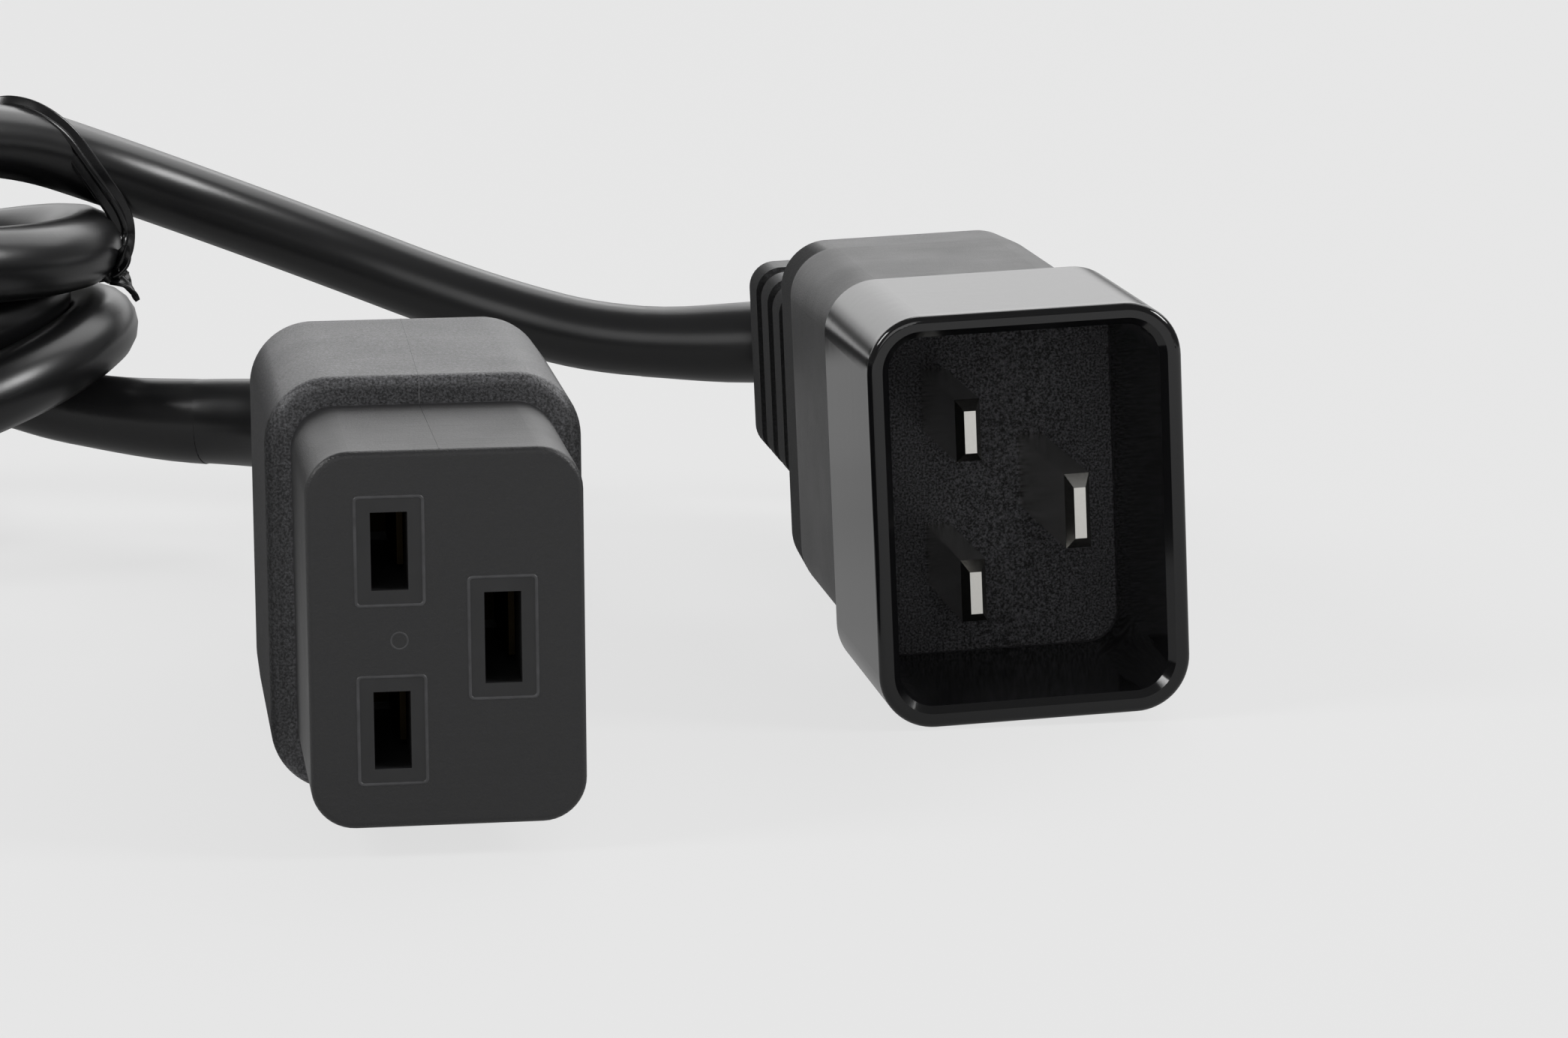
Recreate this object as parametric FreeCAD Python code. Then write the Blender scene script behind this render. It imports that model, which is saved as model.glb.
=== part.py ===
import FreeCAD, Part

import math
import os

from FreeCAD import Vector

# A C19 connector on a flexible lead whose other end is an angled C20 plug.
# Millimetres. +Z is up, the C19 connector faces -Y, and the origin is the bottom
# centre of that connector. Both connectors stand on a short edge on the plane z = 0.
#
# Each connector is first drawn in its own frame: x across, y back from its mating
# face, z up from its centre line. place_c19 and place_c20 then stand it in the row.

# Contact layout, the same in both connectors
LINE_PITCH = 13.0          # line to neutral, centre to centre
EARTH_OFFSET = 8.0         # earth column to the line and neutral column
BLADE_THICK = 2.0
BLADE_WIDTH = 5.0          # line and neutral
EARTH_BLADE_WIDTH = 6.0
BARREL_RADIUS = 1.9        # crimped end of every contact
BARREL_LENGTH = 7.0

# C19 connector
NOSE_WIDTH = 19.8
NOSE_HEIGHT = 27.4
NOSE_CORNER = 3.2
NOSE_DEPTH = 20.0
NOSE_EDGE = 0.5            # edge rounding of the mating face
BODY_WIDTH = 23.7
BODY_HEIGHT = 31.6
BODY_CORNER = 5.0
BODY_DEPTH = 30.5
BODY_FRONT_EDGE = 0.9
BODY_TAPER = 0.1           # how far each side of its rear comes in
BODY_REAR_EDGE = 1.5
SLOT_CLEARANCE = 0.32      # each side of a blade, in the mouth of its sleeve
SLEEVE_WALL = 1.1          # round the mouth
CHAMBER_CLEARANCE = 0.55   # each side of a blade, behind the mouth
MOUTH_DEPTH = 2.0
CARRIER_THICK = 3.5
CARRIER_RIM = 1.4          # carrier outside the sleeves
LEAF_THICK = 0.45
LEAF_GAP = 0.12            # leaf to chamber wall
LEAF_PINCH = 0.25          # how far each leaf reaches into the blade's space
LEAF_MOUTH = 7.0           # leaf tip behind the mating face

# C20 plug
SHROUD_WIDTH = 25.1
SHROUD_HEIGHT = 33.0
SHROUD_CORNER = 4.4
SHROUD_DEPTH = 21.1
SHROUD_WALL = 1.7
SHROUD_EDGE = 0.55
CAVITY_DEPTH = 19.7
LINE_TIP = 3.2             # tips behind the rim
EARTH_TIP = 0.1
TIP_TAPER = 1.1            # length of the pyramid at a blade's end
TIP_SHARE = 0.68           # tip width as a share of the blade's
TIP_THICK = 0.93
PLUG_WIDTH = 22.3
PLUG_HEIGHT = 30.7
PLUG_CORNER = 4.2
PLUG_DEPTH = 36.3
PLUG_TAPER = 0.3
PLUG_REAR_EDGE = 2.2
PIN_TAIL = 2.5             # blade behind the shroud's base
SHROUD_KEY = 5.0           # tongue of the shroud's moulding inside the overmould
SHROUD_KEY_INSET = 3.2

# Necks, strain reliefs and cable, the same family on both ends
SHOULDER_LENGTH = 9.5      # rear of each body, which narrows towards the neck
NECK_WIDTH = 18.8
NECK_HEIGHT = 18.0
NECK_CORNER = 2.4
C19_NECK_LENGTH = 21.5
C20_NECK_LENGTH = 30.0
NECK_EDGE = 1.2
RIB_PITCH = 7.0            # grooves round the neck
RIB_GROOVE = 3.0
RIB_DEPTH = 0.6
RIB_COUNT = 3
CORD_DIA = 6.9
CORE_DIA = 2.7
RELIEF_START_DIA = 11.4
RELIEF_END_DIA = 7.8
RELIEF_EMBED = 8.0         # length moulded into the neck

# How each strain relief runs: straight, then an arc to the left. Dip is how far the
# whole of it points down, in degrees.
C19_RELIEF = {"lead": 24.0, "radius": 24.0, "turn": 67.0, "dip": 4.0}
C20_RELIEF = {"lead": 0.6, "radius": 8.2, "turn": 90.0, "dip": 0.8}

# Where the plug stands: its mating face's centre line, a slight turn, and a lean that
# its stiff cord holds it in
PLUG_X = 48.65
PLUG_Y = -2.67
PLUG_YAW = 0.6
PLUG_LEAN = 2.2

# Routes of the free cord, from each strain relief to the hank. The first point of
# each is the relief's own end.
C19_ROUTE = [(-23.7, 85.9, 12.1), (-34.5, 88.0, 15.6), (-45.0, 89.5, 16.6)]
C20_ROUTE = [(28.0, 94.6, 15.9), (14.0, 98.6, 19.4), (-3.0, 100.0, 26.3),
             (-20.0, 96.5, 33.4), (-32.0, 87.5, 38.8), (-43.0, 77.0, 38.6)]

# The hank: a tied bundle of turns lying on the floor, its right end lifted
HANK_LEFT = -126.6
HANK_FACE = -35.0
HANK_FRONT = 64.2
HANK_BACK = 120.2
HANK_TOP_RIGHT = 44.6
HANK_TOP_LEFT = 35.4
HANK_SLOT_LEFT = -97.0     # opening in the middle of the turns
HANK_SLOT_RIGHT = -66.0
HANK_SLOT_WIDTH = 26.0
# End loops that stand out of the bundle: right end, height there, radius, rise to
# the right and fall to the back
LOOPS = [{"end": -24.1, "height": 27.6, "radius": 24.5, "rise": -4.0, "fall": 7.0},
         {"end": -29.0, "height": 23.0, "radius": 20.8, "rise": 10.0, "fall": 3.0},
         {"end": -22.8, "height": 20.3, "radius": 24.5, "rise": 25.0, "fall": 1.0}]

# Twist tie round the loops' ends and the plug's cord above them
TIE_Y = 89.0
TIE_CORD = [(-31.3, 38.2), (-27.0, 36.4)]   # the plug's cord, going in and out
TIE_WIDTH = 3.0
TIE_THICK = 0.8
TIE_CLEARANCE = 0.45
TIE_TAIL_LENGTH = 12.0
TIE_TAIL_DIA = 2.0

C19_LENGTH = NOSE_DEPTH + BODY_DEPTH + C19_NECK_LENGTH
FACE_Y = -C19_LENGTH / 2
C20_NECK_START = SHROUD_DEPTH + PLUG_DEPTH
C20_LENGTH = C20_NECK_START + C20_NECK_LENGTH
CARRIER_REAR = NOSE_DEPTH + CARRIER_THICK
CAVITY_WIDTH = SHROUD_WIDTH - 2 * SHROUD_WALL
CAVITY_HEIGHT = SHROUD_HEIGHT - 2 * SHROUD_WALL

# The plug is the same way up as its socket would be, turned half round, so its
# line and neutral pins change places.
COLUMN = EARTH_OFFSET / 2
SOCKETS = {
    "line": (-COLUMN, LINE_PITCH / 2, BLADE_WIDTH),
    "neutral": (-COLUMN, -LINE_PITCH / 2, BLADE_WIDTH),
    "earth": (COLUMN, 0.0, EARTH_BLADE_WIDTH),
}
PINS = {
    "line": (-COLUMN, -LINE_PITCH / 2, BLADE_WIDTH),
    "neutral": (-COLUMN, LINE_PITCH / 2, BLADE_WIDTH),
    "earth": (COLUMN, 0.0, EARTH_BLADE_WIDTH),
}
CORE_RING = (CORE_DIA + 0.4) / math.sqrt(3)   # three cores laid almost touching


def rounded_wire(width, height, radius, y, x=0.0, z=0.0):
    """Rounded rectangle in a plane of constant y."""
    half_w, half_h = width / 2, height / 2
    diagonal = radius * math.cos(math.pi / 4)
    edges = []
    last = None
    first = None
    for side_x, side_z in ((1, 1), (-1, 1), (-1, -1), (1, -1)):
        cx = x + side_x * (half_w - radius)
        cz = z + side_z * (half_h - radius)
        upright = Vector(cx + side_x * radius, y, cz)
        level = Vector(cx, y, cz + side_z * radius)
        start, end = (upright, level) if side_x == side_z else (level, upright)
        middle = Vector(cx + side_x * diagonal, y, cz + side_z * diagonal)
        if last is None:
            first = start
        else:
            edges.append(Part.LineSegment(last, start).toShape())
        edges.append(Part.Arc(start, middle, end).toShape())
        last = end
    edges.append(Part.LineSegment(last, first).toShape())
    return Part.Wire(edges)


def rounded_block(width, height, radius, y0, y1, x=0.0, z=0.0):
    """Rounded rectangular bar from y0 to y1."""
    face = Part.Face(rounded_wire(width, height, radius, y0, x, z))
    return face.extrude(Vector(0, y1 - y0, 0))


def plain_block(width, height, y0, y1, x=0.0, z=0.0):
    """Square-edged bar from y0 to y1, centred on x and z."""
    corner = Vector(x - width / 2, y0, z - height / 2)
    return Part.makeBox(width, y1 - y0, height, corner)


def round_ring(solid, y, radius):
    """Rounds the edges of a bar that lie wholly in the plane at y."""
    ring = []
    for edge in solid.Edges:
        box = edge.BoundBox
        if abs(box.YMin - y) < 1e-4 and abs(box.YMax - y) < 1e-4:
            ring.append(edge)
    return solid.makeFillet(radius, ring)


def rounded_path(points, share=0.45):
    """Straight runs joined by tangent arcs, and the radius at each turn."""
    edges = []
    radii = []
    start = points[0]
    for before, corner, after in zip(points, points[1:], points[2:]):
        back = before - corner
        ahead = after - corner
        setback = share * min(back.Length, ahead.Length)
        half_turn = (math.pi - back.getAngle(ahead)) / 2
        radii.append(setback / math.tan(half_turn))
        back.normalize()
        ahead.normalize()
        enter = corner + back * setback
        leave = corner + ahead * setback
        bisector = (back + ahead).normalize()
        middle = corner + bisector * (radii[-1] / math.cos(half_turn) - radii[-1])
        edges.append(Part.LineSegment(start, enter).toShape())
        edges.append(Part.Arc(enter, middle, leave).toShape())
        start = leave
    edges.append(Part.LineSegment(start, points[-1]).toShape())
    return Part.Wire(edges), radii


def tube(points, diameter):
    """Round bar along a rounded path."""
    path, radii = rounded_path(points)
    direction = points[1] - points[0]
    section = Part.Wire(Part.makeCircle(diameter / 2, points[0], direction))
    return path.makePipeShell([section], True, False), path.Length, radii


def blade(width, tip_y, end_y, x, z):
    """Flat contact blade with a blunt pyramid at its tip."""
    shoulder = tip_y + TIP_TAPER
    tip = plain_wire(TIP_THICK, width * TIP_SHARE, tip_y, x, z)
    full = plain_wire(BLADE_THICK, width, shoulder, x, z)
    point = Part.makeLoft([tip, full], True, True)
    return point.fuse(plain_block(BLADE_THICK, width, shoulder, end_y, x, z))


def plain_wire(width, height, y, x, z):
    """Rectangle in a plane of constant y."""
    corners = [Vector(x + sx * width / 2, y, z + sz * height / 2)
               for sx, sz in ((-1, -1), (1, -1), (1, 1), (-1, 1))]
    return Part.makePolygon(corners + corners[:1])


def barrel(y, x, z):
    """Crimped wire barrel behind a contact."""
    return Part.makeCylinder(BARREL_RADIUS, BARREL_LENGTH, Vector(x, y, z), Vector(0, 1, 0))


def core_lay(name):
    """Where a core lies in the cable, in line with the contact it goes to."""
    angle = {"line": 150.0, "neutral": 270.0, "earth": 30.0}[name]
    return (CORE_RING * math.cos(math.radians(angle)),
            CORE_RING * math.sin(math.radians(angle)))


def core(name, contact, start_y, end_y, flip=1):
    """Insulated wire from a contact's barrel to the end of the cable's jacket."""
    x, z, _ = contact
    lay_x, lay_z = core_lay(name)
    run = end_y - start_y
    points = [Vector(x, start_y, z),
              Vector(x, start_y + 0.30 * run, z),
              Vector(lay_x, start_y + 0.72 * run, flip * lay_z),
              Vector(lay_x, end_y, flip * lay_z)]
    return tube(points, CORE_DIA)[0]


def sleeve_size(width):
    """Outside of the insulating sleeve round one socket."""
    grow = 2 * (SLOT_CLEARANCE + SLEEVE_WALL)
    return BLADE_THICK + grow, width + grow


def c19_sleeve(contact):
    """Sleeve with a tight mouth and a wider chamber for the spring contact."""
    x, z, width = contact
    outer_w, outer_h = sleeve_size(width)
    sleeve = plain_block(outer_w, outer_h, 0.0, NOSE_DEPTH, x, z)
    mouth = plain_block(BLADE_THICK + 2 * SLOT_CLEARANCE, width + 2 * SLOT_CLEARANCE,
                        0.0, MOUTH_DEPTH, x, z)
    chamber = plain_block(BLADE_THICK + 2 * CHAMBER_CLEARANCE,
                          width + 2 * CHAMBER_CLEARANCE, MOUTH_DEPTH, NOSE_DEPTH, x, z)
    return sleeve.cut(mouth.fuse(chamber))


def c19_contact(contact):
    """Folded spring contact: two leaves, a web, a strap and a crimp barrel."""
    x, z, width = contact
    wall = BLADE_THICK / 2 + CHAMBER_CLEARANCE - LEAF_GAP
    pinch = BLADE_THICK / 2 - LEAF_PINCH
    waist = LEAF_MOUTH + 3.5
    rear = NOSE_DEPTH
    bend = rear - 4.0
    outline = [(wall, LEAF_MOUTH), (wall - LEAF_THICK, LEAF_MOUTH), (pinch, waist),
               (wall - LEAF_THICK, bend), (wall - LEAF_THICK, rear - LEAF_THICK)]
    back = [(wall, rear), (wall, bend), (pinch + LEAF_THICK, waist)]
    half = outline + [(0.0, rear - LEAF_THICK), (0.0, rear)] + back
    leaf_height = width - 0.3
    leaves = None
    for side in (1, -1):
        corners = [Vector(x + side * px, py, z - leaf_height / 2) for px, py in half]
        leaf = Part.Face(Part.makePolygon(corners + corners[:1]))
        leaf = leaf.extrude(Vector(0, 0, leaf_height))
        leaves = leaf if leaves is None else leaves.fuse(leaf)
    strap = plain_block(LEAF_THICK * 1.6, BARREL_RADIUS * 1.5, rear, CARRIER_REAR, x, z)
    return leaves.fuse([strap, barrel(CARRIER_REAR, x, z)]).removeSplitter()


def c19_carrier():
    """Plate behind the sleeves that spaces the three contacts."""
    span_w = max(sleeve_size(BLADE_WIDTH)[0], sleeve_size(EARTH_BLADE_WIDTH)[0])
    width = EARTH_OFFSET + span_w + 2 * CARRIER_RIM
    height = LINE_PITCH + sleeve_size(BLADE_WIDTH)[1] + 2 * CARRIER_RIM
    plate = rounded_block(width, height, CARRIER_RIM, NOSE_DEPTH, CARRIER_REAR)
    for x, z, _ in SOCKETS.values():
        strap = plain_block(LEAF_THICK * 1.6, BARREL_RADIUS * 1.5, NOSE_DEPTH,
                            CARRIER_REAR, x, z)
        plate = plate.cut(strap)
    return plate


def shouldered_body(width, height, corner, y0, y1, taper, rear_edge):
    """Body bar whose rear narrows a little and has a rounded back."""
    waist = y1 - SHOULDER_LENGTH
    wide = rounded_wire(width, height, corner, waist)
    narrow = rounded_wire(width - 2 * taper, height - 2 * taper, corner, y1)
    shoulder = Part.makeLoft([wide, narrow], True, True)
    shoulder = round_ring(shoulder, y1, rear_edge)
    return rounded_block(width, height, corner, y0, waist).fuse(shoulder)


def ribbed_neck(y0, y1):
    """Neck with grooves round it that let it flex."""
    neck = rounded_block(NECK_WIDTH, NECK_HEIGHT, NECK_CORNER, y0, y1)
    neck = round_ring(neck, y1, NECK_EDGE)
    for step in range(RIB_COUNT):
        centre = y1 - RIB_PITCH * (step + 1)
        outside = rounded_block(NECK_WIDTH + 2, NECK_HEIGHT + 2, NECK_CORNER + 1,
                                centre - RIB_GROOVE / 2, centre + RIB_GROOVE / 2)
        inside = rounded_block(NECK_WIDTH - 2 * RIB_DEPTH, NECK_HEIGHT - 2 * RIB_DEPTH,
                               NECK_CORNER - RIB_DEPTH,
                               centre - RIB_GROOVE / 2, centre + RIB_GROOVE / 2)
        neck = neck.cut(outside.cut(inside))
    return neck


def c19_overmould(inner):
    """Soft PVC moulding: nose, body and neck, formed round the inner pieces."""
    nose = rounded_block(NOSE_WIDTH, NOSE_HEIGHT, NOSE_CORNER, 0.0, NOSE_DEPTH)
    nose = round_ring(nose, 0.0, NOSE_EDGE)
    body_end = NOSE_DEPTH + BODY_DEPTH
    body = shouldered_body(BODY_WIDTH, BODY_HEIGHT, BODY_CORNER, NOSE_DEPTH, body_end,
                           BODY_TAPER, BODY_REAR_EDGE)
    body = round_ring(body, NOSE_DEPTH, BODY_FRONT_EDGE)
    moulding = nose.fuse([body, ribbed_neck(body_end, C19_LENGTH)])
    for x, z, width in SOCKETS.values():
        sleeve_w, sleeve_h = sleeve_size(width)
        moulding = moulding.cut(plain_block(sleeve_w, sleeve_h, 0.0, NOSE_DEPTH, x, z))
    carrier_hull = inner["c19_contact_carrier"].BoundBox
    moulding = moulding.cut(rounded_block(carrier_hull.XLength, carrier_hull.ZLength,
                                          CARRIER_RIM, NOSE_DEPTH, CARRIER_REAR))
    for name in SOCKETS:
        x, z, _ = SOCKETS[name]
        moulding = moulding.cut(barrel(CARRIER_REAR, x, z))
        moulding = moulding.cut(inner["c19_%s_core" % name])
    return moulding.cut(inner["c19_strain_relief"])


def c20_shroud():
    """Hard insert: the shroud, its base and a tongue that keys into the overmould."""
    shroud = rounded_block(SHROUD_WIDTH, SHROUD_HEIGHT, SHROUD_CORNER, 0.0, SHROUD_DEPTH)
    shroud = round_ring(shroud, 0.0, SHROUD_EDGE)
    cavity = rounded_block(CAVITY_WIDTH, CAVITY_HEIGHT, SHROUD_CORNER - SHROUD_WALL,
                           0.0, CAVITY_DEPTH)
    flare = rounded_wire(CAVITY_WIDTH + 2 * SHROUD_EDGE, CAVITY_HEIGHT + 2 * SHROUD_EDGE,
                         SHROUD_CORNER - SHROUD_WALL + SHROUD_EDGE, 0.0)
    throat = rounded_wire(CAVITY_WIDTH, CAVITY_HEIGHT, SHROUD_CORNER - SHROUD_WALL,
                          SHROUD_EDGE)
    tongue = rounded_block(PLUG_WIDTH - 2 * SHROUD_KEY_INSET,
                           PLUG_HEIGHT - 2 * SHROUD_KEY_INSET,
                           PLUG_CORNER - SHROUD_KEY_INSET / 2,
                           SHROUD_DEPTH, SHROUD_DEPTH + SHROUD_KEY)
    shroud = shroud.cut(cavity.fuse(Part.makeLoft([flare, throat], True, True)))
    shroud = shroud.fuse(tongue)
    for x, z, width in PINS.values():
        shroud = shroud.cut(plain_block(BLADE_THICK, width, CAVITY_DEPTH,
                                        SHROUD_DEPTH + SHROUD_KEY, x, z))
    return shroud.removeSplitter()


def c20_pin(name):
    """Plated brass blade with a crimp barrel."""
    x, z, width = PINS[name]
    tip_y = EARTH_TIP if name == "earth" else LINE_TIP
    end_y = SHROUD_DEPTH + SHROUD_KEY + PIN_TAIL
    pin = blade(width, tip_y, end_y, x, z)
    return pin.fuse(barrel(end_y, x, z)).removeSplitter()


def c20_overmould(inner):
    """Soft PVC moulding behind the shroud, with its neck."""
    block = shouldered_body(PLUG_WIDTH, PLUG_HEIGHT, PLUG_CORNER, SHROUD_DEPTH,
                            C20_NECK_START, PLUG_TAPER, PLUG_REAR_EDGE)
    moulding = block.fuse(ribbed_neck(C20_NECK_START, C20_LENGTH))
    moulding = moulding.cut(rounded_block(PLUG_WIDTH - 2 * SHROUD_KEY_INSET,
                                          PLUG_HEIGHT - 2 * SHROUD_KEY_INSET,
                                          PLUG_CORNER - SHROUD_KEY_INSET / 2,
                                          SHROUD_DEPTH, SHROUD_DEPTH + SHROUD_KEY))
    for name in PINS:
        moulding = moulding.cut(inner["c20_%s_pin" % name])
        moulding = moulding.cut(inner["c20_%s_core" % name])
    return moulding.cut(inner["c20_strain_relief"])


def relief_line(start_y, shape):
    """Point and direction along a strain relief's centre line, by distance."""
    dip = math.radians(shape["dip"])
    side = Vector(-1, 0, 0)
    ahead = Vector(0, math.cos(dip), -math.sin(dip))
    start = Vector(0, start_y - RELIEF_EMBED, 0)
    straight = RELIEF_EMBED + shape["lead"]
    radius = shape["radius"]

    def at(distance):
        if distance <= straight:
            return start + ahead * distance, ahead
        angle = (distance - straight) / radius
        point = start + ahead * (straight + radius * math.sin(angle))
        point = point + side * (radius * (1 - math.cos(angle)))
        return point, ahead * math.cos(angle) + side * math.sin(angle)

    return at, straight + radius * math.radians(shape["turn"])


def strain_relief(start_y, shape, stations=13):
    """Tapered sleeve round the cable, moulded to the way the cable leaves."""
    at, length = relief_line(start_y, shape)
    rings = []
    for step in range(stations):
        share = step / (stations - 1)
        point, heading = at(share * length)
        diameter = RELIEF_START_DIA + (RELIEF_END_DIA - RELIEF_START_DIA) * share
        rings.append(Part.Wire(Part.makeCircle(diameter / 2, point, heading)))
    return Part.makeLoft(rings, True, False)


def place_c19(shape):
    """Stands the connector on its short edge, its face towards -Y."""
    moved = shape.copy()
    moved.translate(Vector(0, FACE_Y, BODY_HEIGHT / 2))
    return moved


def place_c20(shape):
    """Stands the plug beside the connector, leaning on the edge of its shroud."""
    lean = math.radians(PLUG_LEAN)
    lift = (SHROUD_HEIGHT / 2 - SHROUD_CORNER) * math.cos(lean) + SHROUD_CORNER
    lift = lift + (SHROUD_WIDTH / 2 - SHROUD_CORNER) * math.sin(lean)
    moved = shape.copy()
    moved.rotate(Vector(0, 0, 0), Vector(0, 1, 0), -PLUG_LEAN)
    moved.rotate(Vector(0, 0, 0), Vector(0, 0, 1), PLUG_YAW)
    moved.translate(Vector(PLUG_X, PLUG_Y, lift))
    return moved


def relief_end(start_y, shape, place):
    """Where a strain relief lets go of the cord, in the row's frame."""
    at, length = relief_line(start_y, shape)
    point, _ = at(length)
    return place(Part.Vertex(point)).Point


def loop_end(loop):
    """Half turn of cord that stands out of the bundle's right end."""
    radius = loop["radius"]
    half = Part.makeTorus(radius, CORD_DIA / 2, Vector(0, 0, 0), Vector(0, 0, 1),
                          -180, 180, 180)
    half.rotate(Vector(0, 0, 0), Vector(0, 0, 1), -90)
    half.rotate(Vector(0, 0, 0), Vector(0, 1, 0), -loop["rise"])
    half.rotate(Vector(0, 0, 0), Vector(1, 0, 0), -loop["fall"])
    reach = radius * math.cos(math.radians(loop["rise"]))
    lift = radius * math.sin(math.radians(loop["rise"]))
    middle = (HANK_FRONT + HANK_BACK) / 2
    half.translate(Vector(loop["end"] - reach, middle, loop["height"] - lift))
    return half


def hank_slot():
    """Opening along the middle of the turns."""
    middle = (HANK_FRONT + HANK_BACK) / 2
    half = HANK_SLOT_WIDTH / 2
    left = HANK_SLOT_LEFT + half
    right = HANK_SLOT_RIGHT - half
    below = -HANK_TOP_RIGHT / 2
    depth = 2 * HANK_TOP_RIGHT
    bar = Part.makeBox(right - left, HANK_SLOT_WIDTH, depth,
                       Vector(left, middle - half, below))
    ends = [Part.makeCylinder(half, depth, Vector(x, middle, below))
            for x in (left, right)]
    return bar.fuse(ends)


def cord_hank():
    """Outer shape of the tied bundle, with the end loops that stand out of it."""
    profile = [(HANK_LEFT, 0.0), (HANK_FACE, 0.0), (HANK_FACE, HANK_TOP_RIGHT),
               (HANK_LEFT, HANK_TOP_LEFT)]
    corners = [Vector(x, HANK_FRONT, z) for x, z in profile]
    side = Part.Face(Part.makePolygon(corners + corners[:1]))
    bundle = side.extrude(Vector(0, HANK_BACK - HANK_FRONT, 0))
    uprights = [edge for edge in bundle.Edges
                if abs(edge.BoundBox.XMin - HANK_LEFT) < 0.01
                and edge.BoundBox.XLength < 0.01 and edge.BoundBox.YLength < 0.01]
    bundle = bundle.makeFillet((HANK_BACK - HANK_FRONT) / 2 - 1.0, uprights)
    bundle = bundle.cut(hank_slot())
    span = HANK_BACK - HANK_FRONT
    beyond = Part.makeBox(span, 2 * span, 2 * span,
                          Vector(HANK_FACE - CORD_DIA / 2, HANK_FRONT - span / 2, -span / 2))
    ends = [loop_end(loop).common(beyond) for loop in LOOPS]
    return bundle.fuse(ends).removeSplitter()


def cord_tie():
    """Band round the loops' ends and the plug's cord, with its twisted tail."""
    centres = TIE_CORD + [(loop["end"], loop["height"]) for loop in LOOPS[::2]]
    centres.append((LOOPS[1]["end"], LOOPS[1]["height"]))
    corners = [Vector(x, TIE_Y, z) for x, z in centres]
    hull = Part.makePolygon(corners + corners[:1])
    reach = CORD_DIA / 2 + TIE_CLEARANCE
    inside = Part.Face(hull.makeOffset2D(reach))
    outside = Part.Face(hull.makeOffset2D(reach + TIE_THICK))
    band = outside.cut(inside).extrude(Vector(0, TIE_WIDTH, 0))
    top = LOOPS[0]
    knot = Vector(top["end"] + reach + TIE_THICK / 2, TIE_Y + 1.0, top["height"] - 2.0)
    tail = Part.makeCylinder(TIE_TAIL_DIA / 2, TIE_TAIL_LENGTH, knot, Vector(0.25, -0.8, -0.55))
    return band.fuse(tail)


os.makedirs("parts", exist_ok=True)
nodes = {}

# C19 connector, inside to outside
inner = {"c19_contact_carrier": c19_carrier(),
         "c19_strain_relief": strain_relief(C19_LENGTH, C19_RELIEF)}
for name, contact in SOCKETS.items():
    inner["c19_%s_sleeve" % name] = c19_sleeve(contact)
    inner["c19_%s_contact" % name] = c19_contact(contact)
    wire = core(name, contact, CARRIER_REAR + BARREL_LENGTH, C19_LENGTH - RELIEF_EMBED)
    inner["c19_%s_core" % name] = wire.cut(inner["c19_strain_relief"])
inner["c19_overmould"] = c19_overmould(inner)
for name, shape in inner.items():
    nodes[name] = place_c19(shape)

# C20 plug, inside to outside
pins = {"c20_shroud": c20_shroud(),
        "c20_strain_relief": strain_relief(C20_LENGTH, C20_RELIEF)}
pin_end = SHROUD_DEPTH + SHROUD_KEY + PIN_TAIL + BARREL_LENGTH
for name, contact in PINS.items():
    pins["c20_%s_pin" % name] = c20_pin(name)
    wire = core(name, contact, pin_end, C20_LENGTH - RELIEF_EMBED, -1)
    pins["c20_%s_core" % name] = wire.cut(pins["c20_strain_relief"])
pins["c20_overmould"] = c20_overmould(pins)
for name, shape in pins.items():
    nodes[name] = place_c20(shape)

# Cord, hank and tie
nodes["cord_hank"] = cord_hank()
routes = {
    "cord_c19_tail": [relief_end(C19_LENGTH, C19_RELIEF, place_c19)]
                     + [Vector(*point) for point in C19_ROUTE],
    "cord_c20_tail": [relief_end(C20_LENGTH, C20_RELIEF, place_c20)]
                     + [Vector(*point) for point in C20_ROUTE],
}
for name, points in routes.items():
    print(name, "starts at", [round(value, 2) for value in points[0]])
    solid, length, radii = tube(points, CORD_DIA)
    ideal = math.pi * CORD_DIA ** 2 / 4 * length
    print(name, "length %.1f volume/ideal %.4f radii" % (length, solid.Volume / ideal),
          [round(radius, 1) for radius in radii])
    relief = nodes["c19_strain_relief" if "c19" in name else "c20_strain_relief"]
    nodes[name] = solid.cut(nodes["cord_hank"]).cut(relief)
nodes["cord_tie"] = cord_tie().cut(nodes["cord_hank"]).cut(nodes["cord_c20_tail"])

for name, shape in nodes.items():
    points = shape.tessellate(0.1)[0]
    print("%-22s solids %d valid %s volume %.1f faces %d lowest %.3f" % (
        name, len(shape.Solids), shape.isValid(), shape.Volume, len(shape.Faces),
        min(point.z for point in points)))
    shape.exportStep("parts/%s.step" % name)
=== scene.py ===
import math

import bmesh
import bpy
from mathutils import Euler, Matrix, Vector
from mathutils.bvhtree import BVHTree


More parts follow.
